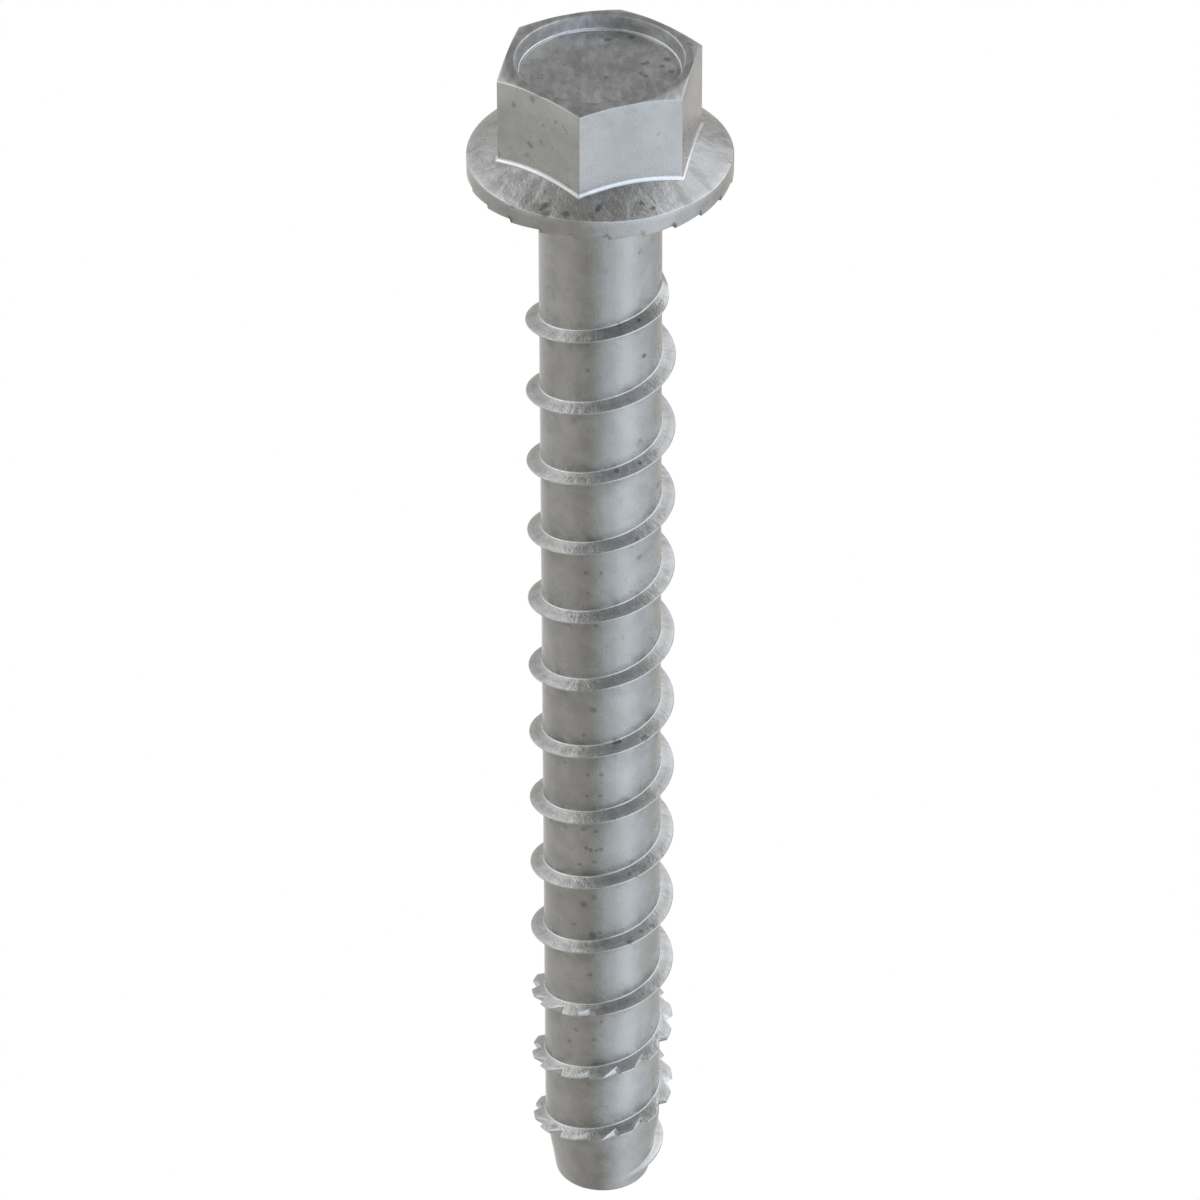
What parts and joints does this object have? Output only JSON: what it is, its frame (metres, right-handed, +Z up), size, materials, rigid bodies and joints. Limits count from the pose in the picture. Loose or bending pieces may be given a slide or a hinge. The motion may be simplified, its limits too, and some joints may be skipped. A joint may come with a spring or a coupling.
{
  "type": "concrete screw",
  "caption": "Hex flange screw for drilled concrete: recessed hex head, toothed underside, and a long right-hand thread whose tip-end turns are notched like a saw.",
  "frame": {"origin": "centre of the flat top of the head, on which the screw stands", "axes": "+Z runs up the screw's axis from head to tip; -Y faces the side that the picture shows"},
  "size_m": [0.0264, 0.0264, 0.1397],
  "materials": {
    "galvanised_steel": "matte, mechanically galvanised grey with a cloudy mottle"
  },
  "bodies": {
    "root": {"concrete_screw": "galvanised_steel"}
  },
  "joints": []
}
